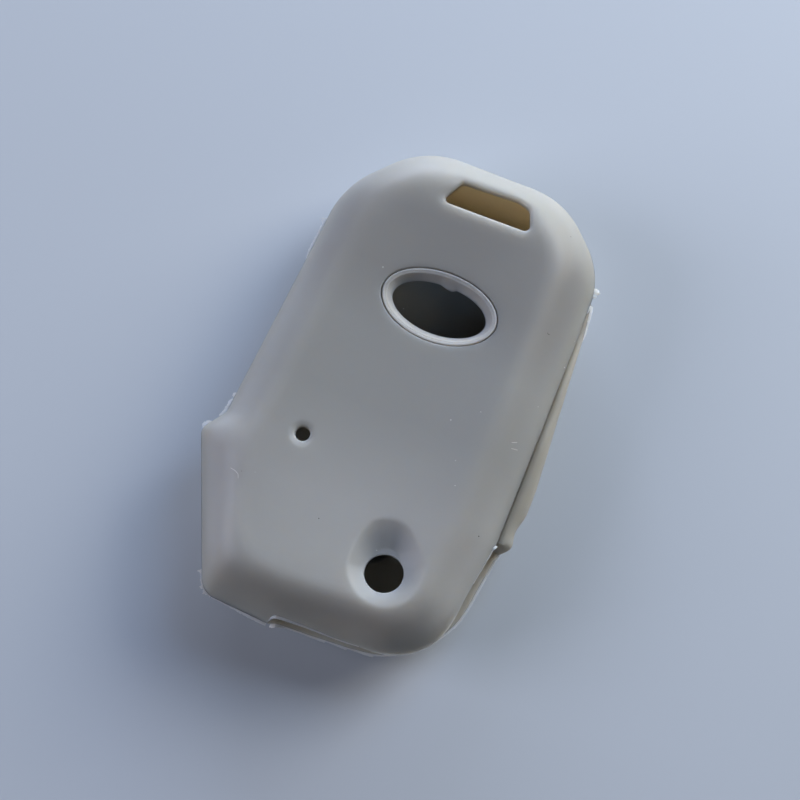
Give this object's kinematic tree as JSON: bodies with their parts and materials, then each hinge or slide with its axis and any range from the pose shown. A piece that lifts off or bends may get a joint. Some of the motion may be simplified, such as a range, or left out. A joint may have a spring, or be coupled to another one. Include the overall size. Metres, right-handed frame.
{
  "type": "key fob cover",
  "caption": "Soft moulded skin for a folding car key, with a badge window, key-ring window, release-button hole, blade slot, side slit and press pads.",
  "frame": {"origin": "middle of the rectangle round the cover, on the plane that its button side lies on", "axes": "+X across the cover, +Y towards the key-ring end, +Z from the button side up to the badge side"},
  "size_m": [0.0511, 0.0796, 0.0177],
  "materials": {
    "skin": "matte",
    "rim": "satin",
    "pads": "matte"
  },
  "bodies": {
    "cover": {"front_shell": "skin", "back_shell": "skin", "emblem_rim": "rim", "lock_web": "skin", "unlock_web": "skin", "boot_web": "skin"},
    "flap": {"back_flap": "skin"},
    "lock_button": {"lock_pad": "pads"},
    "unlock_button": {"unlock_pad": "pads"},
    "boot_button": {"boot_pad": "pads"}
  },
  "joints": [
    {"name": "flap_fold", "type": "hinge", "parent": "cover", "child": "flap", "pos_m": [-0.0043, -0.04, 0.0182], "axis": [-0.3702, -0.929, 0], "range_deg": [0, 30], "stiffness_Nm_per_rad": 0.03},
    {"name": "lock_press", "type": "slide", "parent": "cover", "child": "lock_button", "axis": [0, 0, 1], "range_m": [0, 0.0006], "stiffness_N_per_m": 2000, "deforming": ["lock_web"]},
    {"name": "unlock_press", "type": "slide", "parent": "cover", "child": "unlock_button", "axis": [0, 0, 1], "range_m": [0, 0.0006], "stiffness_N_per_m": 2000, "deforming": ["unlock_web"]},
    {"name": "boot_press", "type": "slide", "parent": "cover", "child": "boot_button", "axis": [0, 0, 1], "range_m": [0, 0.0006], "stiffness_N_per_m": 2000, "deforming": ["boot_web"]}
  ]
}
